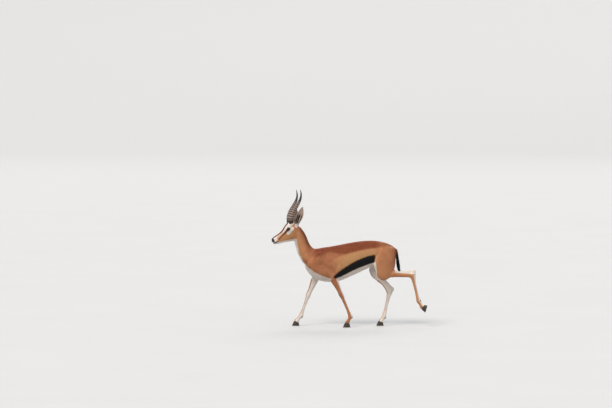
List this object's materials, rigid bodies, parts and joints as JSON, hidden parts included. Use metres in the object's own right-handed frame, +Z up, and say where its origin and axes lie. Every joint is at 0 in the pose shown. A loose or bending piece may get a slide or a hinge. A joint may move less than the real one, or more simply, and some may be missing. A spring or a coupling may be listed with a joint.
{
  "type": "gazelle",
  "caption": "Life-size still model of a male Thomson's gazelle in mid-stride, with ringed horns, cupped ears and a hanging tail.",
  "frame": {"origin": "middle of the underside of the bounding box, on the plane the three standing feet rest on", "axes": "+Z up; -X is the way the animal walks; -Y is its left side"},
  "size_m": [1.0902, 0.1914, 0.964],
  "materials": {
    "coat": "short fur, reddish fawn above and white below, with a black band along the side",
    "tail_coat": "black tail hair",
    "keratin": "dark horn and hoof",
    "eye": "wet black-brown eye"
  },
  "bodies": {
    "root": {"cannon_fore_left": "coat", "cannon_fore_right": "coat", "cannon_hind_left": "coat", "cannon_hind_right": "coat", "ear_left": "coat", "ear_right": "coat", "eye_left": "eye", "eye_right": "eye", "forearm_fore_left": "coat", "forearm_fore_right": "coat", "head": "coat", "hoof_fore_left_left_claw": "keratin", "hoof_fore_left_right_claw": "keratin", "hoof_fore_right_left_claw": "keratin", "hoof_fore_right_right_claw": "keratin", "hoof_hind_left_left_claw": "keratin", "hoof_hind_left_right_claw": "keratin", "hoof_hind_right_left_claw": "keratin", "hoof_hind_right_right_claw": "keratin", "horn_left": "keratin", "horn_right": "keratin", "neck": "coat", "pastern_fore_left": "coat", "pastern_fore_right": "coat", "pastern_hind_left": "coat", "pastern_hind_right": "coat", "shank_hind_left": "coat", "shank_hind_right": "coat", "tail": "tail_coat", "thigh_hind_left": "coat", "thigh_hind_right": "coat", "trunk": "coat"}
  },
  "joints": []
}
